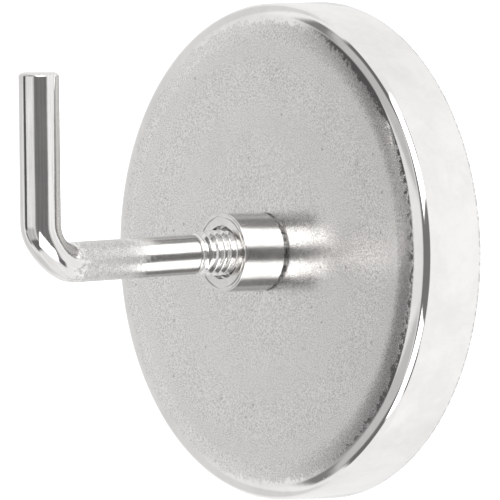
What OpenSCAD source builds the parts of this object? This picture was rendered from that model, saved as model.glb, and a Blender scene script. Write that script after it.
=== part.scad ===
// Flat pot magnet with a threaded bush and a screw-in right-angle hook.
// The magnet's contact face lies in the plane y = 0 and faces +Y, the hook stands out
// towards -Y, and its free arm points up along +Z. All sizes are in millimetres.

/* [Pot] */
// Outer diameter of the steel pot
pot_d = 63; // [40:0.5:100]
// Height of the pot from its contact face to its front face
pot_h = 10.2; // [9:0.1:20]
// Radius of the very slight dome of the front face round its flat middle
pot_dome_r = 980; // [500:20:1200]
// Radius of the gentle fall at the rim of the front face
pot_crown_r = 17; // [10:1:24]
// Radius of the shoulder between that fall and the edge
pot_shoulder_r = 3.1; // [2:0.1:6]
// Radius of the edge where the shoulder turns into the wall
pot_edge_r = 1.35; // [1:0.05:2]
// How much smaller the wall's radius is at the front edge than at the contact rim
pot_taper = 0.1; // [0:0.05:0.5]
// Chamfer around the outside of the contact rim
pot_rim_chamfer = 0.4; // [0.2:0.1:1]
// Thickness of the pot's wall
pot_wall = 3; // [2:0.25:5]
// Thickness of the pot's floor
pot_floor = 2.5; // [1.5:0.25:4]

/* [Magnet] */
// Width of the ring-shaped gap between the magnet and the pot's wall
magnet_gap = 2; // [1:0.25:4]
// Depth of the magnet's face below the contact rim
magnet_recess = 0.2; // [0.1:0.1:1]
// Chamfer on the magnet's edges
magnet_chamfer = 0.4; // [0.2:0.1:1]
// Thickness of the adhesive between the magnet and the pot's floor
adhesive_t = 0.25; // [0.1:0.05:0.5]
// Depth of the spacer ring's face below the contact rim
spacer_recess = 0.6; // [0.3:0.1:2]

/* [Bush] */
// Outer diameter of the threaded bush
bush_d = 10; // [9:0.5:16]
// Height of the bush above the pot's front face
bush_h = 6.6; // [6:0.1:10]
// Height of the broken edge around the bush's mouth
bush_edge_h = 0.2; // [0.1:0.1:1.2]
// Width of the broken edge around the bush's mouth
bush_edge_w = 0.15; // [0.1:0.05:0.6]
// Diameter of the countersink at the bush's mouth
countersink_d = 6.75; // [6.3:0.05:7.5]
// Thickness of the projection weld under the bush
weld_t = 0.4; // [0.1:0.05:0.5]
// How far the weld stands back from the bush's outside
weld_inset = 0.2; // [0.05:0.05:0.5]

/* [Thread] */
// Outer diameter of the hook's thread
thread_d = 5.8; // [5.7:0.05:5.97]
// Distance from one thread crest to the next
pitch = 1; // [0.8:0.05:1]
// Radial clearance between the hook's thread and the bush's thread
thread_gap = 0.05; // [0.02:0.01:0.1]
// Number of thread crests inside the bush
crests_in = 5; // [3:1:5]
// Number of thread crests left showing outside the bush
crests_out = 5; // [1:1:8]

/* [Hook] */
// Diameter of the hook's wire
wire_d = 5.1; // [5:0.05:5.3]
// Distance from the bush's mouth to the centreline of the upright arm
reach = 28.6; // [20:0.1:60]
// Height of the arm's tip above the centreline of the shank
arm_h = 24; // [14:0.2:60]
// Radius on the inside of the bend
bend_inner_r = 2.6; // [1:0.25:5]
// Rounding around the arm's cut end
tip_r = 0.5; // [0.2:0.1:1.2]
// Angle by which the hook's free length hangs below the bush's axis, in degrees
droop = 1.9; // [0:0.1:3]

/* [Hidden] */
$fn = 96;

// Distances along the magnet's axis, counted from the contact face towards the hook
recess_top = pot_h - pot_floor;
magnet_top = recess_top - adhesive_t;
bush_foot = pot_h + weld_t;
mouth = pot_h + bush_h;

pot_r = pot_d / 2;
// Arcs of the pot's outside from the flat face to the wall: [radius, angle at its end]
POT_ARCS = [[pot_dome_r, 1.2], [pot_crown_r, 12], [pot_shoulder_r, 34], [pot_edge_r, 90]];
recess_r = pot_r - pot_wall;
recess_corner_r = 1;
magnet_r = recess_r - magnet_gap;
bush_r = bush_d / 2;
wire_r = wire_d / 2;
bend_r = bend_inner_r + wire_r;

// External thread: flat crests an eighth of the pitch wide, flat roots a quarter wide
crest_r = thread_d / 2;
root_r = crest_r - 0.6134 * pitch;
crest_w = pitch / 8;
root_w = pitch / 4;
lead_in = 0.6;
// Core that carries the wire through the slight kink at the mouth
core_r = 0.8 * root_r;
core_h = 2;
thread_start = mouth - crests_in * pitch;
bore_r = root_r + thread_gap;
tap_r = crest_r + thread_gap;
sink_r = countersink_d / 2;
sink_depth = sink_r - bore_r;
cut = 0.01;

STEEL = [0.75, 0.75, 0.74];
BRIGHT = [0.86, 0.86, 0.85];
FERRITE = [0.13, 0.13, 0.14];
RESIN = [0.62, 0.55, 0.38];
NYLON = [0.08, 0.08, 0.09];
SCALE = [0.36, 0.34, 0.33];

// Turns a body drawn upright so that its +Z points to the hook's side
module along_axis() {
    rotate([90, 0, 0]) children();
}

// Points of an arc about a centre, from angle a0 to angle a1
function arc(cx, cy, r, a0, a1, steps) =
    [for (i = [0 : steps]) let (a = a0 + (a1 - a0) * i / steps) [cx + r * cos(a), cy + r * sin(a)]];

// Points of tangent arcs that start level at [0, 0] and turn downwards, arc after arc
function chain(arcs, steps, i = 0, a0 = 0, at = [0, 0]) = i == len(arcs) ? [] :
    let (r = arcs[i][0], a1 = arcs[i][1], cx = at[0] - r * sin(a0), cy = at[1] - r * cos(a0),
        pts = [for (k = [1 : steps]) let (a = a0 + (a1 - a0) * k / steps) [cx + r * sin(a), cy + r * cos(a)]])
    concat(pts, chain(arcs, steps, i + 1, a1, pts[steps - 1]));

// Corners of one crest of the thread over one pitch: [radius, height] pairs
function crest(r_crest, r_root) = [
    [r_root, root_w / 2],
    [r_crest, (pitch - crest_w) / 2],
    [r_crest, (pitch + crest_w) / 2],
    [r_root, pitch - root_w / 2]];

// Outline of a row of thread crests, drawn from the axis outwards
function thread_outline(r_crest, r_root, z0, crests) = concat(
    [[0, z0], [r_root, z0]],
    [for (i = [0 : crests - 1], p = crest(r_crest, r_root)) [p[0], z0 + i * pitch + p[1]]],
    [[r_root, z0 + crests * pitch], [0, z0 + crests * pitch]]);

module thread(r_crest, r_root, z0, crests) {
    rotate_extrude() polygon(thread_outline(r_crest, r_root, z0, crests));
}

// Deep-drawn steel cup, open at the contact face
module pot_shell() {
    edge = concat([[0, 0]], chain(POT_ARCS, 6));
    flat_r = pot_r - pot_taper - edge[len(edge) - 1][0];
    color(STEEL) along_axis() rotate_extrude() polygon(concat(
        [for (p = edge) [flat_r + p[0], pot_h + p[1]]],
        [[pot_r, pot_rim_chamfer], [pot_r - pot_rim_chamfer, 0], [recess_r, 0]],
        arc(recess_r - recess_corner_r, recess_top - recess_corner_r, recess_corner_r, 0, 90, 6),
        [[0, recess_top], [0, pot_h]]));
}

// Ferrite disc that closes the pot
module magnet_disc() {
    color(FERRITE) along_axis() rotate_extrude() polygon([
        [0, magnet_recess],
        [magnet_r - magnet_chamfer, magnet_recess],
        [magnet_r, magnet_recess + magnet_chamfer],
        [magnet_r, magnet_top - magnet_chamfer],
        [magnet_r - magnet_chamfer, magnet_top],
        [0, magnet_top]]);
}

// Thin bed of cured adhesive that holds the magnet to the pot's floor
module adhesive_bed() {
    color(RESIN) along_axis() translate([0, 0, magnet_top])
        cylinder(r = magnet_r - magnet_chamfer, h = adhesive_t);
}

// Non-magnetic ring that centres the magnet and keeps the gap to the wall
module spacer_ring() {
    corner = recess_corner_r;
    color(NYLON) along_axis() rotate_extrude() polygon([
        [magnet_r, spacer_recess],
        [recess_r, spacer_recess],
        [recess_r, recess_top - corner],
        [recess_r - corner, recess_top - corner],
        [magnet_r, recess_top - corner]]);
}

// Ring of weld metal that joins the bush to the pot
module weld_seam() {
    color(SCALE) along_axis() translate([0, 0, pot_h]) difference() {
        cylinder(r = bush_r - weld_inset, h = weld_t);
        translate([0, 0, -cut]) cylinder(r = tap_r, h = weld_t + 2 * cut);
    }
}

// Steel bush, threaded inside and countersunk at its mouth
module threaded_bush() {
    color(BRIGHT) along_axis() difference() {
        rotate_extrude() polygon([
            [0, bush_foot],
            [bush_r, bush_foot],
            [bush_r, mouth - bush_edge_h],
            [bush_r - bush_edge_w, mouth],
            [0, mouth]]);
        translate([0, 0, bush_foot - cut]) cylinder(r = bore_r, h = bush_h);
        thread(tap_r, bore_r, thread_start, crests_in);
        translate([0, 0, bush_foot - cut]) cylinder(r = tap_r, h = thread_start - bush_foot + cut);
        translate([0, 0, mouth - sink_depth])
            cylinder(r1 = bore_r, r2 = sink_r + cut, h = sink_depth + cut);
    }
}

// Hook of bent round wire: threaded end, shank, bend and upright arm
module screw_hook() {
    color(BRIGHT) union() {
        along_axis() {
            thread(crest_r, root_r, thread_start, crests_in);
            translate([0, 0, thread_start - lead_in])
                cylinder(r1 = root_r - 0.3, r2 = root_r, h = lead_in);
        }
        translate([0, -mouth, 0]) rotate([droop, 0, 0]) hook_free_length();
    }
}

// The part of the hook outside the bush, drawn level from the bush's mouth
module hook_free_length() {
    thread_out = crests_out * pitch;
    along_axis() {
        thread(crest_r, root_r, 0, crests_out);
        translate([0, 0, thread_out]) cylinder(r = wire_r, h = reach - bend_r - thread_out);
        translate([0, 0, -core_h / 2]) cylinder(r = core_r, h = core_h);
    }
    translate([0, bend_r - reach, bend_r]) rotate([-90, 0, 0]) rotate([0, 90, 0])
        rotate_extrude(angle = 90) translate([bend_r, 0]) circle(r = wire_r);
    translate([0, -reach, bend_r]) rotate_extrude() polygon(concat(
        [[0, 0], [wire_r, 0]],
        arc(wire_r - tip_r, arm_h - bend_r - tip_r, tip_r, 0, 90, 6),
        [[0, arm_h - bend_r]]));
}

pot_shell();
magnet_disc();
adhesive_bed();
spacer_ring();
weld_seam();
threaded_bush();
screw_hook();
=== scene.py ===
import math

import bpy
from mathutils import Matrix, Vector


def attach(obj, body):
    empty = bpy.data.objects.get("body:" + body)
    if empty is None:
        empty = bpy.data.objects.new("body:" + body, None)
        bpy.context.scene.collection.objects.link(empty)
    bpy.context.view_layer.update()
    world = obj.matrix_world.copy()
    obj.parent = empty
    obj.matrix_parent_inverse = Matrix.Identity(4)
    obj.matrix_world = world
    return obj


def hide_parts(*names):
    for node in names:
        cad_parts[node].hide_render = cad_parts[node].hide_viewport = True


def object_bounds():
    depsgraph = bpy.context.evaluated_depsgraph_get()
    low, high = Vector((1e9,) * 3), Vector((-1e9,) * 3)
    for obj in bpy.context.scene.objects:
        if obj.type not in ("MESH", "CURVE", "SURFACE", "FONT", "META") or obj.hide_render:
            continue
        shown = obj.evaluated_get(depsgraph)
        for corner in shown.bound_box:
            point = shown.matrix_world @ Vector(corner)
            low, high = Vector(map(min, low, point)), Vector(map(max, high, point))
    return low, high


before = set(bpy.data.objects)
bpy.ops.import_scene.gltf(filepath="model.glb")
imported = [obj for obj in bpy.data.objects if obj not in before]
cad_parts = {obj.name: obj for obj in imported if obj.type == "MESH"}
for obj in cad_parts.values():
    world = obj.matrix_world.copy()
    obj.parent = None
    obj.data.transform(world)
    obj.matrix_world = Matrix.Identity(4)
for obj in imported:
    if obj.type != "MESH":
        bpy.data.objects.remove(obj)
cad_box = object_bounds()

MM = 0.001
# Turns a place in metres into one in millimetres, for the finishes
TO_MILLIMETRES = (1000, 1000, 1000)

# ---------------------------------------------------------------- sizes, in metres
# The hook's side of the magnet is -Y. "Depth" below is the distance from the contact face
# towards the hook, so a place at depth d lies at y = -d.

POT_R = 31.5 * MM
POT_H = 10.2 * MM
POT_TAPER = 0.1 * MM
POT_FLOOR = 2.5 * MM
RIM_CHAMFER = 0.4 * MM
# Radius of the small face that closes the end of a turned solid
CENTRE_R = 1 * MM
# Arcs of the pot's outside from its middle to the wall: radius, and its angle at the end
POT_ARCS = ((980 * MM, 1.2), (17 * MM, 12), (3.1 * MM, 34), (1.35 * MM, 90))

RECESS_R = POT_R - 3 * MM
RECESS_CORNER = 1 * MM
RECESS_TOP = POT_H - POT_FLOOR
MAGNET_R = RECESS_R - 2 * MM
MAGNET_FACE = 0.2 * MM
MAGNET_BACK = RECESS_TOP - 0.25 * MM
MAGNET_CHAMFER = 0.4 * MM
SPACER_FACE = 0.6 * MM

WELD_T = 0.4 * MM
WELD_BORE_R = 3 * MM
WELD_INSET = 0.08 * MM
# How far the middle of the weld bulges past its two faces
WELD_BULGE = 0.05 * MM
WELD_UNEVEN = 0.08 * MM
BUSH_R = 5.0 * MM
BUSH_FOOT = POT_H + WELD_T
MOUTH = POT_H + 6.6 * MM
BUSH_EDGE_H = 0.2 * MM
BUSH_EDGE_W = 0.15 * MM
SINK_R = 3.375 * MM
SINK_DEPTH = 0.6 * MM
# The fine groove on the bush's end: outer radius, inner radius, depth and slope of its sides
GROOVE_OUTER_R = 4.6 * MM
GROOVE_INNER_R = 4.38 * MM
GROOVE_DEPTH = 0.18 * MM
GROOVE_SLOPE = 0.04 * MM

PITCH = 1.0 * MM
CREST_R = 2.9 * MM
ROOT_R = CREST_R - 0.6134 * PITCH
THREAD_GAP = 0.05 * MM
CRESTS_IN = 5
THREAD_OUT = 5.0 * MM
# Length and loss of radius of the chamfered start of the hook's thread
LEAD_LENGTH = 0.6 * MM
LEAD_LOSS = 0.3 * MM

WIRE_R = 2.55 * MM
REACH = 28.6 * MM
ARM_H = 24.0 * MM
BEND_R = WIRE_R + 2.6 * MM
TIP_R = 0.5 * MM
TIP_BREAK = 0.8 * MM
# How far the bend's inside moves out, its outside moves in, and its width grows
BEND_INNER_PRESS = 0.25 * MM
BEND_OUTER_PRESS = 0.5 * MM
BEND_SPREAD = 0.05
DROOP = math.radians(1.9)


# ---------------------------------------------------------------- workshop moves

def start_fresh():
    """Nothing selected, so that a new primitive is all that an operator sees."""
    if bpy.context.mode != "OBJECT":
        bpy.ops.object.mode_set(mode="OBJECT")
    bpy.ops.object.select_all(action="DESELECT")


def first_ring(name, depth, radius, sides):
    """A ring of edges round the magnet's axis, left in edit mode with all of it selected."""
    start_fresh()
    bpy.ops.mesh.primitive_circle_add(
        vertices=sides, radius=radius, location=(0, -depth, 0), rotation=(math.pi / 2, 0, 0))
    piece = bpy.context.object
    piece.name = piece.data.name = name
    bpy.ops.object.transform_apply(location=True, rotation=True, scale=True)
    bpy.ops.object.mode_set(mode="EDIT")
    bpy.ops.mesh.select_all(action="SELECT")
    return piece


def next_ring(old, new):
    """Pulls the selected ring on from one (depth, radius) to the next."""
    bpy.ops.mesh.extrude_region_move(TRANSFORM_OT_translate={"value": (0, old[0] - new[0], 0)})
    grow = new[1] / old[1]
    bpy.ops.transform.resize(value=(grow, 1, grow), center_override=(0, -new[0], 0))


def close_up(piece, smooth_angle=35):
    """Merges what meets, turns every face outwards and smooths all but the sharp edges."""
    bpy.ops.mesh.select_all(action="SELECT")
    bpy.ops.mesh.remove_doubles(threshold=1e-7)
    bpy.ops.mesh.normals_make_consistent(inside=False)
    bpy.ops.object.mode_set(mode="OBJECT")
    bpy.ops.object.shade_smooth_by_angle(angle=math.radians(smooth_angle))
    return piece


def turn_solid(name, outline, sides=256, smooth_angle=35):
    """A turned piece with an end face at the first and the last of its (depth, radius) stations."""
    piece = first_ring(name, *outline[0], sides)
    bpy.ops.mesh.edge_face_add()
    for old, new in zip(outline, outline[1:]):
        next_ring(old, new)
    return close_up(piece, smooth_angle)


def turn_ring(name, outline, sides=256, smooth_angle=35):
    """A turned piece with a hole through it: the outline runs once round and back to its start."""
    piece = first_ring(name, *outline[0], sides)
    loop = outline + [outline[0]]
    for old, new in zip(loop, loop[1:]):
        next_ring(old, new)
    return close_up(piece, smooth_angle)


def arc(depth, radius, r_depth, r_radius, start, end, steps):
    """Stations along a quarter of an ellipse; 0 degrees points outwards, 90 towards the hook."""
    angles = [math.radians(start + (end - start) * k / steps) for k in range(steps + 1)]
    return [(depth + r_depth * math.sin(a), radius + r_radius * math.cos(a)) for a in angles]


def tangent_arcs(arcs, steps):
    """Stations of arcs that follow each other smoothly: how far out and how far down each lies."""
    out, down, before, stations = 0.0, 0.0, 0.0, [(0.0, 0.0)]
    for radius, end in arcs:
        centre = (out - radius * math.sin(before), down + radius * math.cos(before))
        for k in range(1, steps + 1):
            a = before + (math.radians(end) - before) * k / steps
            stations.append((centre[0] + radius * math.sin(a), centre[1] - radius * math.cos(a)))
        out, down = stations[-1]
        before = math.radians(end)
    return stations


# ---------------------------------------------------------------- the pieces

def make_pot_shell():
    """Drawn cup: very slightly domed face, rounded edge, wall, ground rim and recess."""
    edge = tangent_arcs(POT_ARCS, 10)
    flat_r = POT_R - POT_TAPER - edge[-1][0]
    face = [(POT_H, 0.2 * flat_r), (POT_H, 0.9 * flat_r)]
    outside = [(POT_H - down, flat_r + out) for out, down in edge]
    chamfer_foot = POT_R - RIM_CHAMFER
    inner_break = 0.15 * MM
    rim = [(RIM_CHAMFER * 1.3, POT_R), (RIM_CHAMFER, POT_R - 0.03 * MM),
           (0.05 * MM, chamfer_foot), (0, chamfer_foot - 0.08 * MM),
           (0, RECESS_R + inner_break), (inner_break, RECESS_R)]
    corner = RECESS_CORNER
    recess = arc(RECESS_TOP - corner, RECESS_R - corner, corner, corner, 0, 90, 6)
    return turn_solid("pot_cup", face + outside + rim + recess + [(RECESS_TOP, CENTRE_R)])


def make_magnet_disc():
    """Ground ferrite disc with broken edges."""
    back, front, c = MAGNET_FACE, MAGNET_BACK, MAGNET_CHAMFER
    return turn_solid("ferrite_disc", [
        (back, CENTRE_R), (back, MAGNET_R * 0.5), (back, MAGNET_R - c),
        (back + 0.15 * c, MAGNET_R - 0.7 * c), (back + c, MAGNET_R),
        (front - c, MAGNET_R), (front, MAGNET_R - c), (front, CENTRE_R)])


def make_spacer_ring():
    """Moulded ring in the gap round the magnet."""
    back, front = SPACER_FACE, RECESS_TOP - RECESS_CORNER
    b = 0.25 * MM
    inner, outer = MAGNET_R, RECESS_R
    return turn_ring("spacer_moulding", [
        (back + b, inner), (back + 0.3 * b, inner + 0.3 * b), (back, inner + b), (back, outer - b),
        (back + 0.3 * b, outer - 0.3 * b), (back + b, outer), (front, outer),
        (front, outer - 1 * MM), (front, inner)])


def make_weld_seam():
    """Squeezed-out ring of weld metal under the bush.

    All of it is uneven, so its two faces run a little into the pot and the bush."""
    low, high = POT_H, POT_H + WELD_T
    outer = BUSH_R - WELD_INSET
    mid = (low + high) / 2
    piece = turn_ring("weld_bead", [
        (low, WELD_BORE_R), (low, outer - WELD_BULGE), (mid, outer),
        (high, outer - WELD_BULGE), (high, WELD_BORE_R)], sides=192)
    start_fresh()
    bpy.context.view_layer.objects.active = piece
    piece.select_set(True)
    bpy.ops.object.mode_set(mode="EDIT")
    bpy.ops.transform.vertex_random(offset=WELD_UNEVEN, uniform=0.3, normal=0.0, seed=4)
    bpy.ops.object.mode_set(mode="OBJECT")
    return piece


def make_threaded_bush():
    """Turned bush: broken outer edge, flat end with a fine groove, countersink and tapped bore."""
    bore, tap = ROOT_R + THREAD_GAP, CREST_R + THREAD_GAP
    edge_h, edge_w = BUSH_EDGE_H, BUSH_EDGE_W
    foot_break = 0.05 * MM
    outside = [(BUSH_FOOT, tap), (BUSH_FOOT, BUSH_R - foot_break), (BUSH_FOOT + foot_break, BUSH_R),
               (BUSH_FOOT + 3 * MM, BUSH_R)]
    broken_edge = arc(MOUTH - edge_h, BUSH_R - edge_w, edge_h, edge_w, 0, 90, 12)
    groove_floor = MOUTH - GROOVE_DEPTH
    groove = [(MOUTH, GROOVE_OUTER_R), (groove_floor, GROOVE_OUTER_R - GROOVE_SLOPE),
              (groove_floor, GROOVE_INNER_R + GROOVE_SLOPE), (MOUTH, GROOVE_INNER_R)]
    sink = [(MOUTH, SINK_R + 0.04 * MM), (MOUTH - 0.03 * MM, SINK_R),
            (MOUTH - SINK_DEPTH, SINK_R - 0.05 * MM), (MOUTH - (SINK_R - bore), bore)]
    tapped = []
    for k in range(1, CRESTS_IN):
        top = MOUTH - k * PITCH
        tapped += [(top - 0.125 * PITCH, bore), (top - 0.4375 * PITCH, tap),
                   (top - 0.5625 * PITCH, tap), (top - 0.875 * PITCH, bore)]
    return turn_ring("turned_bush", outside + broken_edge + groove + sink + tapped)


def ease(value, low, high):
    """A smooth rise from 0 to 1 between two limits."""
    t = min(1.0, max(0.0, (value - low) / (high - low)))
    return t * t * (3 - 2 * t)


def thread_lift(turns):
    """How far the thread stands above its root, 0 to 1, at a place counted in turns along it."""
    flank = (abs(turns % 1.0 - 0.5) - 0.05) / 0.39
    return 1.0 - min(1.0, max(0.0, flank))


def make_screw_hook():
    """Bent wire, drawn straight ahead first: threaded end, shank, bend, arm and tip."""
    sides = 96
    start = MOUTH - CRESTS_IN * PITCH
    thread_end = MOUTH + THREAD_OUT
    bend_start = MOUTH + REACH - BEND_R
    fine = PITCH / 16
    n_thread = round((thread_end + 1 * MM - start) / fine)
    stations = [(start - LEAD_LENGTH, ROOT_R - LEAD_LOSS), (start - 0.02 * MM, ROOT_R)]
    stations += [(start + k * fine, ROOT_R) for k in range(n_thread)]
    plain = start + n_thread * fine
    stations += [(plain + (bend_start - plain) * k / 12, ROOT_R) for k in range(13)]
    piece = first_ring("bent_hook", *stations[0], sides)
    bpy.ops.mesh.edge_face_add()
    for old, new in zip(stations, stations[1:]):
        next_ring(old, new)
    grow = WIRE_R / ROOT_R
    bpy.ops.transform.resize(value=(grow, 1, grow), center_override=(0, -bend_start, 0))
    bpy.ops.mesh.spin(steps=36, angle=math.pi / 2, center=(0, -bend_start, BEND_R), axis=(1, 0, 0))
    climb = ARM_H - BEND_R - TIP_R
    arm_steps, tip_steps = 10, 8
    for k in range(arm_steps):
        bpy.ops.mesh.extrude_region_move(TRANSFORM_OT_translate={"value": (0, 0, climb / arm_steps)})
    height, radius = 0.0, WIRE_R
    for k in range(1, tip_steps + 1):
        a = math.radians(90 * k / tip_steps)
        new_h, new_r = TIP_R * math.sin(a), WIRE_R - TIP_BREAK + TIP_BREAK * math.cos(a)
        bpy.ops.mesh.extrude_region_move(TRANSFORM_OT_translate={"value": (0, 0, new_h - height)})
        s = new_r / radius
        middle = (0, -MOUTH - REACH, BEND_R + climb + new_h)
        bpy.ops.transform.resize(value=(s, s, 1), center_override=middle)
        height, radius = new_h, new_r
    close_up(piece)
    keep_straight_place(piece)
    roll_thread(piece, start, thread_end)
    press_bend(piece, bend_start)
    let_droop(piece)
    return piece


def keep_straight_place(piece):
    """Remembers where each point of the wire lay before bending, for marks that follow the wire."""
    straight = piece.data.attributes.new("straight_place", "FLOAT_VECTOR", "POINT")
    corner = MOUTH + REACH - BEND_R
    for v, mark in zip(piece.data.vertices, straight.data):
        along, up = -v.co.y - corner, BEND_R - v.co.z
        if along <= 0:
            mark.vector = v.co
        elif up > 0:
            turned = math.atan2(along, up)
            out = math.hypot(along, up) - BEND_R
            mark.vector = (v.co.x, -corner - BEND_R * turned, -out)
        else:
            mark.vector = (v.co.x, -corner - BEND_R * math.pi / 2 + up, BEND_R - along)


def roll_thread(piece, start, thread_end):
    """Raises the right-hand thread on the wire's end and fades it out into the shank.

    Inside the bush its turns close up into rings that follow the bush's grooves. They are a
    close fit there: their flanks run up to 0.03 mm into the bush's own."""
    for v in piece.data.vertices:
        depth, r = -v.co.y, math.hypot(v.co.x, v.co.z)
        if abs(r - ROOT_R) > 1e-6 or depth > MOUTH + REACH - 1.01 * BEND_R:
            continue
        turn = math.atan2(v.co.z, v.co.x) / (2 * math.pi)
        winding = ease(depth, MOUTH - 0.95 * PITCH, MOUTH - 0.25 * PITCH)
        lift = thread_lift((depth - start) / PITCH + turn * winding)
        left = thread_end + 0.3 * PITCH - depth
        crest = WIRE_R + (CREST_R - WIRE_R) * ease(left, 0.0, 3.6 * PITCH)
        root = WIRE_R + (ROOT_R - WIRE_R) * ease(left, 0.0, 1.6 * PITCH)
        lead = ease(depth, start, start + 0.5 * PITCH)
        new = root + (crest - root) * lift * lead
        v.co.x *= new / r
        v.co.z *= new / r


def press_bend(piece, bend_start):
    """Flattens the outside of the bend, tightens its inside and spreads it sideways."""
    inner, outer = BEND_R - WIRE_R, BEND_R + WIRE_R
    for v in piece.data.vertices:
        along, up = -v.co.y - bend_start, BEND_R - v.co.z
        if along <= 0 or up <= 0:
            continue
        swing = math.sin(2 * math.atan2(along, up)) ** 2
        rho = math.hypot(along, up)
        t = (rho - inner) / (outer - inner)
        low, high = inner + BEND_INNER_PRESS * swing, outer - BEND_OUTER_PRESS * swing
        new = low + (high - low) * t
        v.co.y = -bend_start - along * new / rho
        v.co.z = BEND_R - up * new / rho
        v.co.x *= 1 + BEND_SPREAD * swing


def let_droop(piece):
    """Lets the free length hang a little below the bush's axis, pivoting at the mouth."""
    for v in piece.data.vertices:
        share = ease(-v.co.y, MOUTH - 0.4 * MM, MOUTH + 0.4 * MM)
        if share:
            turn = Matrix.Rotation(DROOP * share, 3, "X")
            pivot = Vector((0, -MOUTH, 0))
            v.co = pivot + turn @ (v.co - pivot)


# ---------------------------------------------------------------- nodes

def add_node(tree, kind, values=None, **settings):
    """A shader node with its settings and its unlinked input values."""
    node = tree.nodes.new(kind)
    for key, value in settings.items():
        setattr(node, key, value)
    for key, value in (values or {}).items():
        if isinstance(value, bpy.types.NodeSocket):
            tree.links.new(value, node.inputs[key])
        else:
            node.inputs[key].default_value = value
    return node


def math_node(tree, operation, a, b=0.0, clamp=False):
    return add_node(tree, "ShaderNodeMath", {0: a, 1: b}, operation=operation, use_clamp=clamp).outputs[0]


def smooth_step(tree, value, low, high, to_low=0.0, to_high=1.0):
    node = add_node(tree, "ShaderNodeMapRange", {
        "Value": value, "From Min": low, "From Max": high, "To Min": to_low, "To Max": to_high},
        interpolation_type="SMOOTHSTEP")
    return node.outputs["Result"]


def mix_value(tree, share, a, b):
    node = add_node(tree, "ShaderNodeMix", {"Factor": share, "A": a, "B": b}, data_type="FLOAT")
    return node.outputs["Result"]


def mix_colour(tree, share, a, b):
    """Mixes two colours; sockets 6, 7 and 2 are the Mix node's colour inputs and output."""
    return add_node(tree, "ShaderNodeMix", {0: share, 6: a, 7: b}, data_type="RGBA").outputs[2]


# ---------------------------------------------------------------- studio

VIEW_AZIMUTH = 51.63
VIEW_HEIGHT = 2.79
VIEW_ROLL = 0.85
VIEW_DISTANCE = 1.5
VIEW_PAN = -9.575 * MM
LENS = 850.8


def set_camera():
    """Long lens almost level with the magnet, a little over 50 degrees round to its side."""
    a, e, roll = (math.radians(x) for x in (VIEW_AZIMUTH, VIEW_HEIGHT, VIEW_ROLL))
    back = Vector((math.sin(a) * math.cos(e), -math.cos(a) * math.cos(e), math.sin(e)))
    level = Vector((math.cos(a), math.sin(a), 0))
    right = level * math.cos(roll) + back.cross(level) * math.sin(roll)
    data = bpy.data.cameras.new("studio_camera")
    data.lens = LENS
    data.sensor_width = 36
    data.clip_start, data.clip_end = 0.1, 100
    camera = bpy.data.objects.new("studio_camera", data)
    bpy.context.scene.collection.objects.link(camera)
    axes = Matrix((right, back.cross(right), back)).transposed().to_4x4()
    camera.matrix_world = Matrix.Translation(back * VIEW_DISTANCE + right * VIEW_PAN) @ axes
    bpy.context.scene.camera = camera


def way(turned, up):
    """The direction some degrees round from the camera, to its right, and some degrees up."""
    a, e = math.radians(VIEW_AZIMUTH + turned), math.radians(up)
    return Vector((math.sin(a) * math.cos(e), -math.cos(a) * math.cos(e), math.sin(e)))


def dot_product(tree, a, b):
    return add_node(tree, "ShaderNodeVectorMath", {0: a, 1: b}, operation="DOT_PRODUCT").outputs["Value"]


def panel(tree, turned, up, left, right, low, high, soft_left, soft_right, soft_up):
    """1 inside a part of the room that lies between two turns and two heights, 0 outside it."""
    mask = smooth_step(tree, turned, left - soft_left, left + soft_left)
    for rise in (smooth_step(tree, turned, right - soft_right, right + soft_right, 1.0, 0.0),
                 smooth_step(tree, up, low - soft_up, low + soft_up),
                 smooth_step(tree, up, high - soft_up, high + soft_up, 1.0, 0.0)):
        mask = math_node(tree, "MULTIPLY", mask, rise)
    return mask


def soft_box(tree, direction, corners, soft):
    """1 inside a four-sided light whose corners lie in these directions, 0 outside it."""
    ways = [way(*corner) for corner in corners]
    middle = sum(ways, Vector())
    mask = 1.0
    for here, there in zip(ways, ways[1:] + ways[:1]):
        inwards = here.cross(there).normalized()
        if inwards.dot(middle) < 0:
            inwards.negate()
        rise = smooth_step(tree, dot_product(tree, direction, inwards), -soft, soft)
        mask = math_node(tree, "MULTIPLY", mask, rise)
    return mask


# left, right, low, high (degrees); softness to the left, to the right and upwards; brightness
ROOM_PANELS = (
    (-150, -112, -60, 60, 12, 3, 10, 0.70),
    (-114, -97, -20, 20, 4, 3, 6, 0.82),
    (-97, -35, -45, 45, 3, 3, 4, 0.54),
    (-101, -91, 20, 42, 3, 3, 3, 0.22),
    (-101, -91, -42, -20, 3, 3, 3, 0.22),
    (-82, -35, -14, 14, 3, 3, 4, 0.84),
    (48, 125, -60, 60, 4, 12, 8, 0.97),
    (-84, 58, 39, 59, 4, 4, 3, 0.15),
    (-84, 58, -59, -39, 4, 4, 3, 0.15),
    (-28.5, 48, -44, 44, 6.5, 6, 2, 0.19),
    (-97.5, -79, -17, 17, 4, 1.2, 3, 0.09),
)

# Corners of the two soft boxes, how soft their edges are, and their brightness
SOFT_BOXES = (
    (((-3, 13), (-34, 50), (40, 70), (50, 25)), 0.03, 2.6),
    (((-8, -18), (-42, -52), (30, -62), (40, -28)), 0.03, 2.4),
)


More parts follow.
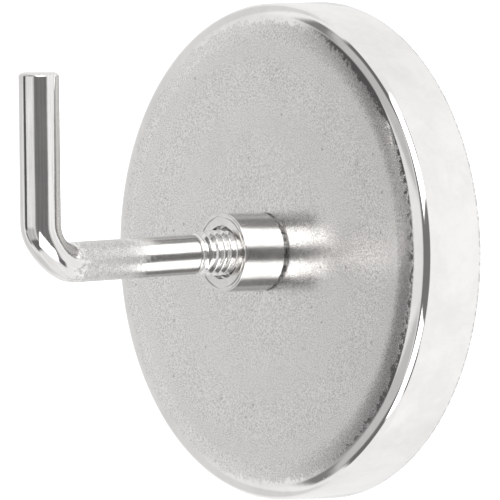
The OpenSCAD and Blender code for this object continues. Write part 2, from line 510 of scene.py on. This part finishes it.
def light_studio():
    """A white room, dark round the camera, with big soft boxes above and below the camera.

    Directions are given as degrees round from the camera, to its right, and degrees up."""
    world = bpy.data.worlds.new("studio")
    bpy.context.scene.world = world
    world.use_nodes = True
    tree = world.node_tree
    tree.nodes.clear()
    direction = add_node(tree, "ShaderNodeTexCoord").outputs["Generated"]
    side = dot_product(tree, direction, way(90, 0))
    towards = dot_product(tree, direction, way(0, 0))
    turned = math_node(tree, "DEGREES", math_node(tree, "ARCTAN2", side, towards))
    height = add_node(tree, "ShaderNodeSeparateXYZ", {0: direction}).outputs["Z"]
    up = math_node(tree, "DEGREES", math_node(tree, "ARCSINE", height))
    level = 0.9
    for row in ROOM_PANELS:
        level = mix_value(tree, panel(tree, turned, up, *row[:-1]), level, row[-1])
    for corners, soft, brightness in SOFT_BOXES:
        level = mix_value(tree, soft_box(tree, direction, corners, soft), level, brightness)
    room = add_node(tree, "ShaderNodeBackground", {"Color": (1, 1, 1, 1), "Strength": level})
    seen = add_node(tree, "ShaderNodeBackground", {"Color": (1, 1, 1, 1), "Strength": 1.0})
    camera_ray = add_node(tree, "ShaderNodeLightPath").outputs["Is Camera Ray"]
    shader = add_node(tree, "ShaderNodeMixShader", {0: camera_ray, 1: room.outputs[0], 2: seen.outputs[0]})
    out = add_node(tree, "ShaderNodeOutputWorld")
    tree.links.new(shader.outputs[0], out.inputs["Surface"])


def lay_floor():
    """Plain white table top, just under the magnet's rim."""
    start_fresh()
    bpy.ops.mesh.primitive_plane_add(size=8, location=(0, 0, cad_box[0].z - 0.02 * MM))
    floor = bpy.context.object
    floor.name = "table_top"
    bpy.ops.object.transform_apply(location=True, rotation=True, scale=True)
    material = bpy.data.materials.new("white_table")
    material.use_nodes = True
    shader = material.node_tree.nodes["Principled BSDF"]
    shader.inputs["Base Color"].default_value = (0.9, 0.9, 0.9, 1)
    shader.inputs["Roughness"].default_value = 0.9
    shader.inputs["Specular IOR Level"].default_value = 0.0
    shader.inputs["Emission Color"].default_value = (1, 1, 1, 1)
    shader.inputs["Emission Strength"].default_value = 0.55
    floor.data.materials.append(material)
    floor.visible_glossy = False


# ---------------------------------------------------------------- shared surface effects

def new_group(name, inputs, outputs):
    """A node group of plain float inputs and outputs, apart from a vector input called Place."""
    tree = bpy.data.node_groups.new(name, "ShaderNodeTree")
    for label, kind, default in inputs:
        socket = tree.interface.new_socket(label, in_out="INPUT", socket_type=kind)
        if default is not None:
            socket.default_value = default
    for label in outputs:
        tree.interface.new_socket(label, in_out="OUTPUT", socket_type="NodeSocketFloat")
    return tree, tree.nodes.new("NodeGroupInput").outputs, tree.nodes.new("NodeGroupOutput").inputs


def noise(tree, place, scale, detail=2.0, roughness=0.5, distortion=0.0):
    node = add_node(tree, "ShaderNodeTexNoise", {
        "Vector": place, "Scale": scale, "Detail": detail,
        "Roughness": roughness, "Distortion": distortion})
    return node.outputs["Fac"]


def stretched(tree, place, turn, scale):
    """The place turned and then squashed, so that a noise read there becomes slanting streaks."""
    turned = add_node(tree, "ShaderNodeMapping", {"Vector": place, "Rotation": turn}).outputs[0]
    return add_node(tree, "ShaderNodeVectorMath", {0: turned, 1: scale}, operation="MULTIPLY").outputs[0]


def make_cloud_group():
    """Soft uneven tone over a plated surface, with its fine grain. Place is in millimetres."""
    tree, inputs, outputs = new_group("cloud_and_grain", [("Place", "NodeSocketVector", None)],
                                      ["Cloud", "Grain", "Frost"])
    place = inputs["Place"]
    wide = noise(tree, place, 0.11, 4.0, 0.55)
    narrow = noise(tree, place, 0.5, 3.0, 0.6, 0.4)
    cloud = math_node(tree, "ADD", math_node(tree, "MULTIPLY", wide, 0.65),
                      math_node(tree, "MULTIPLY", narrow, 0.35))
    tree.links.new(smooth_step(tree, cloud, 0.36, 0.64), outputs["Cloud"])
    tree.links.new(noise(tree, place, 7.0, 2.0, 0.7), outputs["Grain"])
    tree.links.new(noise(tree, place, 1.7, 4.0, 0.65), outputs["Frost"])
    return tree


def make_speck_group():
    """Small scattered pits: dark dots of uneven size, thinned out by a wide noise."""
    tree, inputs, outputs = new_group("scattered_pits", [
        ("Place", "NodeSocketVector", None), ("Per Millimetre", "NodeSocketFloat", 0.5),
        ("Size", "NodeSocketFloat", 0.12), ("Share", "NodeSocketFloat", 0.5)], ["Pits"])
    cells = add_node(tree, "ShaderNodeTexVoronoi", {
        "Vector": inputs["Place"], "Scale": inputs["Per Millimetre"], "Randomness": 1.0})
    chance = add_node(tree, "ShaderNodeSeparateColor", {"Color": cells.outputs["Color"]})
    size = math_node(tree, "MULTIPLY", inputs["Size"], chance.outputs["Green"])
    edge = math_node(tree, "MULTIPLY", size, 0.5)
    dots = smooth_step(tree, cells.outputs["Distance"], edge, size, 1.0, 0.0)
    kept = math_node(tree, "LESS_THAN", chance.outputs["Red"], inputs["Share"])
    tree.links.new(math_node(tree, "MULTIPLY", dots, kept), outputs["Pits"])
    return tree


def make_scratch_group():
    """Hairline scratches: long thin streaks in one direction, broken up along their length."""
    tree, inputs, outputs = new_group("hairline_scratches", [
        ("Place", "NodeSocketVector", None), ("Amount", "NodeSocketFloat", 0.3)], ["Scratches"])
    slanting = stretched(tree, inputs["Place"], (0.0, 0.9, 0.0), (4.5, 1.0, 0.09))
    streaks = noise(tree, slanting, 1.0, 1.0, 0.4, 0.2)
    limit = math_node(tree, "SUBTRACT", 0.78, math_node(tree, "MULTIPLY", inputs["Amount"], 0.2))
    full = math_node(tree, "ADD", limit, 0.05)
    lines = add_node(tree, "ShaderNodeMapRange", {"Value": streaks, "From Min": limit, "From Max": full})
    lines = lines.outputs["Result"]
    patches = smooth_step(tree, noise(tree, inputs["Place"], 0.16, 2.0), 0.5, 0.62)
    tree.links.new(math_node(tree, "MULTIPLY", lines, patches), outputs["Scratches"])
    return tree


def make_mark_group():
    """One straight mark from Start to End, frayed along its length. Places are in millimetres."""
    tree, inputs, outputs = new_group("straight_mark", [
        ("Place", "NodeSocketVector", None), ("Start", "NodeSocketVector", None),
        ("End", "NodeSocketVector", None), ("Width", "NodeSocketFloat", 0.1)], ["Mark"])

    def between(a, b):
        return add_node(tree, "ShaderNodeVectorMath", {0: a, 1: b}, operation="SUBTRACT").outputs[0]

    run = between(inputs["End"], inputs["Start"])
    offset = between(inputs["Place"], inputs["Start"])
    share = math_node(tree, "DIVIDE", dot_product(tree, offset, run), dot_product(tree, run, run), clamp=True)
    foot = add_node(tree, "ShaderNodeVectorMath", {0: run, "Scale": share}, operation="SCALE").outputs[0]
    gap = between(offset, foot)
    away = add_node(tree, "ShaderNodeVectorMath", {0: gap}, operation="LENGTH").outputs["Value"]
    fray = noise(tree, inputs["Place"], 2.5, 3.0, 0.7)
    width = math_node(tree, "MULTIPLY", inputs["Width"], smooth_step(tree, fray, 0.38, 0.62, 0.15, 1.7))
    share_of_width = math_node(tree, "DIVIDE", away, width)
    tree.links.new(smooth_step(tree, share_of_width, 0.3, 1.0, 1.0, 0.0), outputs["Mark"])
    return tree


def use_group(tree, group, **values):
    node = tree.nodes.new("ShaderNodeGroup")
    node.node_tree = group
    for label, value in values.items():
        socket = node.inputs[label.replace("_", " ")]
        if isinstance(value, bpy.types.NodeSocket):
            tree.links.new(value, socket)
        else:
            socket.default_value = value
    return node.outputs


CLOUD = make_cloud_group()
PITS = make_speck_group()
SCRATCHES = make_scratch_group()
MARK = make_mark_group()


# ---------------------------------------------------------------- finishes

def in_millimetres(tree, spot):
    """A place in metres as one in millimetres."""
    node = add_node(tree, "ShaderNodeVectorMath", {0: spot, 1: TO_MILLIMETRES}, operation="MULTIPLY")
    return node.outputs[0]


def new_material(name, metallic, **fixed):
    """A Principled material; its place in millimetres comes back with it."""
    material = bpy.data.materials.new(name)
    material.use_nodes = True
    tree = material.node_tree
    shader = tree.nodes["Principled BSDF"]
    shader.inputs["Metallic"].default_value = metallic
    for label, value in fixed.items():
        shader.inputs[label.replace("_", " ")].default_value = value
    spot = add_node(tree, "ShaderNodeTexCoord").outputs["Object"]
    return material, tree, shader, in_millimetres(tree, spot)


def set_tone(tree, shader, tone, dark, light):
    """Base colour between two colours by a tone of 0 to 1."""
    tree.links.new(mix_colour(tree, tone, (*dark, 1), (*light, 1)), shader.inputs["Base Color"])


def set_bump(tree, shader, layers):
    """Stacked bumps, each a height of 0 to 1 and what a height of 1 is in metres."""
    normal = None
    for height, metres in layers:
        values = {"Height": height, "Distance": metres, "Strength": 1.0}
        if normal is not None:
            values["Normal"] = normal
        normal = add_node(tree, "ShaderNodeBump", values).outputs["Normal"]
    tree.links.new(normal, shader.inputs["Normal"])


def distance_from_axis(tree, place):
    """How far a place lies from the magnet's axis, and how deep it lies, both in millimetres."""
    parts = add_node(tree, "ShaderNodeSeparateXYZ", {0: place}).outputs
    across = add_node(tree, "ShaderNodeCombineXYZ", {0: parts["X"], 1: parts["Z"]}).outputs[0]
    radius = add_node(tree, "ShaderNodeVectorMath", {0: across}, operation="LENGTH").outputs["Value"]
    return radius, math_node(tree, "MULTIPLY", parts["Y"], -1.0)


# Distances from the axis between which the satin face gives way to the burnished edge
BURNISHED_FROM = (28.9, 29.5)
# The faint scuff beside the bush, in millimetres. Its line runs 0.3 mm in front of the face, so
# only its widest stretches show.
SCUFF_START = (-6.8, -10.5, 6.3)
SCUFF_END = (-4.0, -10.5, 8.0)


def make_plated_shell():
    """Tumbled zinc plate: satin and grainy on the face, burnished on the edge and the wall."""
    material, tree, shader, place = new_material("tumbled_zinc_plate", 1.0)
    radius, depth = distance_from_axis(tree, place)
    marks = use_group(tree, CLOUD, Place=place)
    ragged = math_node(tree, "ADD", radius, smooth_step(tree, marks["Frost"], 0.3, 0.7, -0.5, 0.5))
    burnished = smooth_step(tree, ragged, *BURNISHED_FROM)
    worn = smooth_step(tree, marks["Frost"], 0.42, 0.58)
    rim_line = math_node(tree, "MULTIPLY", worn, smooth_step(tree, depth, 0.55, 0.75, 1.0, 0.0))
    rim_line = math_node(tree, "MULTIPLY", rim_line, smooth_step(tree, depth, 0.2, 0.35))
    ground = smooth_step(tree, depth, 0.05, 0.2, 1.0, 0.0)
    grinding = noise(tree, stretched(tree, place, (0.0, 0.3, 0.0), (0.06, 1.0, 5.0)), 1.0, 3.0, 0.6)
    satin = math_node(tree, "SUBTRACT", 1.0, burnished)
    pits = use_group(tree, PITS, Place=place, Per_Millimetre=0.6, Size=0.16, Share=0.3)["Pits"]
    scratches = use_group(tree, SCRATCHES, Place=place, Amount=0.4)["Scratches"]
    scuff = use_group(tree, MARK, Place=place, Start=SCUFF_START, End=SCUFF_END, Width=0.3)["Mark"]
    # A darker ring on the face round the bush's foot, 5.1 to 5.9 mm from the axis, broken into patches by
    # noise.
    dark_ring_at_foot = math_node(tree, "MULTIPLY", smooth_step(tree, radius, 5.1, 5.9, 1.0, 0.0),
                     smooth_step(tree, marks["Frost"], 0.5, 0.6))
    tone = math_node(tree, "ADD", math_node(tree, "MULTIPLY", marks["Cloud"], 0.14),
                     smooth_step(tree, marks["Grain"], 0.28, 0.72, -0.2, 1.5))
    for mask, weight in ((pits, 1.0), (scratches, 0.3), (scuff, 0.8), (dark_ring_at_foot, 0.9)):
        tone = math_node(tree, "SUBTRACT", tone, math_node(tree, "MULTIPLY", mask, weight))
    bright = math_node(tree, "ADD", 0.72, math_node(tree, "MULTIPLY", marks["Cloud"], 0.22))
    tone = mix_value(tree, burnished, tone, bright)
    tone = math_node(tree, "SUBTRACT", tone, math_node(tree, "MULTIPLY", rim_line, 0.9), clamp=True)
    tone = mix_value(tree, ground, tone, smooth_step(tree, grinding, 0.3, 0.7, 0.15, 0.75))
    set_tone(tree, shader, tone, (0.62, 0.61, 0.60), (0.98, 0.965, 0.95))
    rough = math_node(tree, "ADD", 0.20, math_node(tree, "MULTIPLY", marks["Frost"], 0.10))
    polished = math_node(tree, "ADD", 0.055, math_node(tree, "MULTIPLY", marks["Cloud"], 0.03))
    rough = mix_value(tree, ground, mix_value(tree, burnished, rough, polished), 0.27)
    tree.links.new(rough, shader.inputs["Roughness"])
    streaks = math_node(tree, "MULTIPLY", grinding, ground)
    frost = math_node(tree, "MULTIPLY", marks["Frost"], satin)
    grain = math_node(tree, "MULTIPLY", marks["Grain"], satin)
    set_bump(tree, shader, [(marks["Cloud"], 3e-6), (frost, 4e-6), (grain, 3.5e-6), (pits, -6e-6),
                            (marks["Grain"], 2e-7), (streaks, 4e-6)])
    return material


def make_ferrite():
    """Ground hard ferrite: charcoal, with grinding streaks and small chips."""
    material, tree, shader, place = new_material("ground_ferrite", 0.0, Specular_IOR_Level=0.6)
    marks = use_group(tree, CLOUD, Place=place)
    chips = use_group(tree, PITS, Place=place, Per_Millimetre=0.3, Size=0.3, Share=0.4)["Pits"]
    grinding = noise(tree, stretched(tree, place, (0.0, 0.25, 0.0), (0.05, 1.0, 4.0)), 1.0, 3.0, 0.6)
    tone = math_node(tree, "MULTIPLY", math_node(tree, "ADD", marks["Cloud"], grinding), 0.5)
    tone = math_node(tree, "SUBTRACT", tone, math_node(tree, "MULTIPLY", chips, 0.5), clamp=True)
    set_tone(tree, shader, tone, (0.018, 0.018, 0.02), (0.075, 0.075, 0.08))
    tree.links.new(smooth_step(tree, grinding, 0.2, 0.8, 0.32, 0.55), shader.inputs["Roughness"])
    set_bump(tree, shader, [(grinding, 6e-6), (marks["Grain"], 5e-6), (chips, -6e-5)])
    return material


def make_spacer():
    """Moulded black plastic with a fine texture and dust in it."""
    material, tree, shader, place = new_material("moulded_spacer", 0.0)
    marks = use_group(tree, CLOUD, Place=place)
    set_tone(tree, shader, marks["Cloud"], (0.012, 0.012, 0.013), (0.035, 0.034, 0.033))
    tree.links.new(smooth_step(tree, marks["Frost"], 0.3, 0.7, 0.4, 0.62), shader.inputs["Roughness"])
    set_bump(tree, shader, [(marks["Frost"], 1.2e-5), (marks["Grain"], 5e-6)])
    return material


def make_adhesive():
    """Cured epoxy: honey-coloured, glossy, with small bubbles."""
    material, tree, shader, place = new_material("cured_epoxy", 0.0)
    marks = use_group(tree, CLOUD, Place=place)
    bubbles = use_group(tree, PITS, Place=place, Per_Millimetre=1.2, Size=0.3, Share=0.5)["Pits"]
    set_tone(tree, shader, marks["Cloud"], (0.30, 0.22, 0.10), (0.48, 0.37, 0.19))
    tree.links.new(smooth_step(tree, marks["Frost"], 0.3, 0.7, 0.12, 0.3), shader.inputs["Roughness"])
    set_bump(tree, shader, [(marks["Frost"], 8e-6), (bubbles, -3e-5)])
    return material


def make_weld():
    """Dark weld metal with heat scale."""
    material, tree, shader, place = new_material("weld_scale", 0.8)
    marks = use_group(tree, CLOUD, Place=place)
    tone = smooth_step(tree, marks["Frost"], 0.35, 0.65)
    set_tone(tree, shader, tone, (0.07, 0.069, 0.067), (0.56, 0.55, 0.54))
    tree.links.new(smooth_step(tree, marks["Grain"], 0.3, 0.7, 0.3, 0.6), shader.inputs["Roughness"])
    set_bump(tree, shader, [(marks["Frost"], 3e-5), (marks["Grain"], 1e-5)])
    return material


def make_bright_bush():
    """Turned steel under bright plate: faint rings from the lathe, a few pits."""
    material, tree, shader, place = new_material("bright_turned_plate", 1.0)
    radius, depth = distance_from_axis(tree, place)
    marks = use_group(tree, CLOUD, Place=place)
    pits = use_group(tree, PITS, Place=place, Per_Millimetre=0.9, Size=0.14, Share=0.35)["Pits"]
    lathe = add_node(tree, "ShaderNodeCombineXYZ", {0: radius, 1: depth}).outputs[0]
    rings = noise(tree, lathe, 9.0, 2.0, 0.6)
    tone = math_node(tree, "ADD", math_node(tree, "MULTIPLY", marks["Cloud"], 0.5),
                     math_node(tree, "MULTIPLY", rings, 0.5))
    tone = math_node(tree, "SUBTRACT", tone, math_node(tree, "MULTIPLY", pits, 0.8), clamp=True)
    set_tone(tree, shader, tone, (0.68, 0.67, 0.66), (0.95, 0.937, 0.923))
    tree.links.new(smooth_step(tree, marks["Frost"], 0.3, 0.7, 0.09, 0.17), shader.inputs["Roughness"])
    set_bump(tree, shader, [(rings, 1.2e-6), (marks["Frost"], 5e-6),
                            (marks["Grain"], 1.0e-6), (pits, -1.5e-5)])
    return material


# Along the straight wire, in millimetres from the contact face: where the bending tool's rough
# marks begin and end, and where the rolled thread ends
GRIP_FROM = (29.5, 34.0)
GRIP_TO = (39.6, 41.4)
ROLLED_TO = (21.0, 22.2)


def make_bright_wire():
    """Drawn wire under bright plate: streaks along the wire, speckled where it was bent."""
    material, tree, shader, place = new_material("bright_drawn_wire", 1.0)
    straight = add_node(tree, "ShaderNodeAttribute", attribute_name="straight_place").outputs["Vector"]
    wire = in_millimetres(tree, straight)
    parts = add_node(tree, "ShaderNodeSeparateXYZ", {0: wire}).outputs
    along = math_node(tree, "MULTIPLY", parts["Y"], -1.0)
    marks = use_group(tree, CLOUD, Place=wire)
    ragged = math_node(tree, "ADD", along, smooth_step(tree, marks["Frost"], 0.3, 0.7, -1.5, 1.5))
    gripped = math_node(tree, "MULTIPLY", smooth_step(tree, ragged, *GRIP_FROM),
                        smooth_step(tree, ragged, *GRIP_TO, 1.0, 0.0))
    rolled = smooth_step(tree, along, *ROLLED_TO, 1.0, 0.0)
    pits = use_group(tree, PITS, Place=wire, Per_Millimetre=1.4, Size=0.13, Share=0.3)["Pits"]
    drawing = noise(tree, stretched(tree, wire, (0.0, 0.0, 0.0), (4.0, 0.12, 4.0)), 1.0, 3.0, 0.6)
    plain = math_node(tree, "ADD", 0.62, math_node(tree, "MULTIPLY", marks["Cloud"], 0.1))
    plain = math_node(tree, "ADD", plain, smooth_step(tree, drawing, 0.3, 0.7, 0.0, 0.24))
    speckled = math_node(tree, "ADD", smooth_step(tree, marks["Grain"], 0.25, 0.75, 0.0, 0.6),
                         smooth_step(tree, marks["Frost"], 0.3, 0.7, 0.05, 0.25))
    tone = mix_value(tree, gripped, plain, speckled)
    tone = math_node(tree, "SUBTRACT", tone, math_node(tree, "MULTIPLY", pits, 0.5), clamp=True)
    set_tone(tree, shader, tone, (0.40, 0.395, 0.39), (0.98, 0.965, 0.95))
    drawn = smooth_step(tree, marks["Frost"], 0.3, 0.7, 0.06, 0.10)
    drawn = mix_value(tree, rolled, drawn, 0.16)
    tree.links.new(mix_value(tree, gripped, drawn, 0.26), shader.inputs["Roughness"])
    rough = math_node(tree, "MULTIPLY", marks["Grain"], gripped)
    streaks = math_node(tree, "MULTIPLY", drawing, math_node(tree, "SUBTRACT", 1.0, gripped))
    set_bump(tree, shader, [(streaks, 3e-6), (marks["Frost"], 4e-6), (rough, 5e-6), (pits, -3e-6)])
    return material


def dress(piece, material):
    piece.data.materials.clear()
    piece.data.materials.append(material)


# How each piece is made, the CAD node it stands for, its body, slot and finish
PIECES = (
    (make_pot_shell, "pot_shell", "magnet", "plated_shell", make_plated_shell),
    (make_magnet_disc, "magnet_disc", "magnet", "ferrite", make_ferrite),
    (make_spacer_ring, "spacer_ring", "magnet", "spacer", make_spacer),
    (make_weld_seam, "weld_seam", "magnet", "weld", make_weld),
    (make_threaded_bush, "threaded_bush", "magnet", "bright_bush", make_bright_bush),
    (make_screw_hook, "screw_hook", "hook", "bright_wire", make_bright_wire),
)


def build():
    for make, node, body, slot, finish in PIECES:
        piece = make()
        dress(piece, finish())
        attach(piece, body)
        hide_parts(node)
    dress(bpy.data.objects["adhesive_bed"], make_adhesive())


bpy.context.scene.view_settings.view_transform = "Standard"
set_camera()
light_studio()
lay_floor()
build()
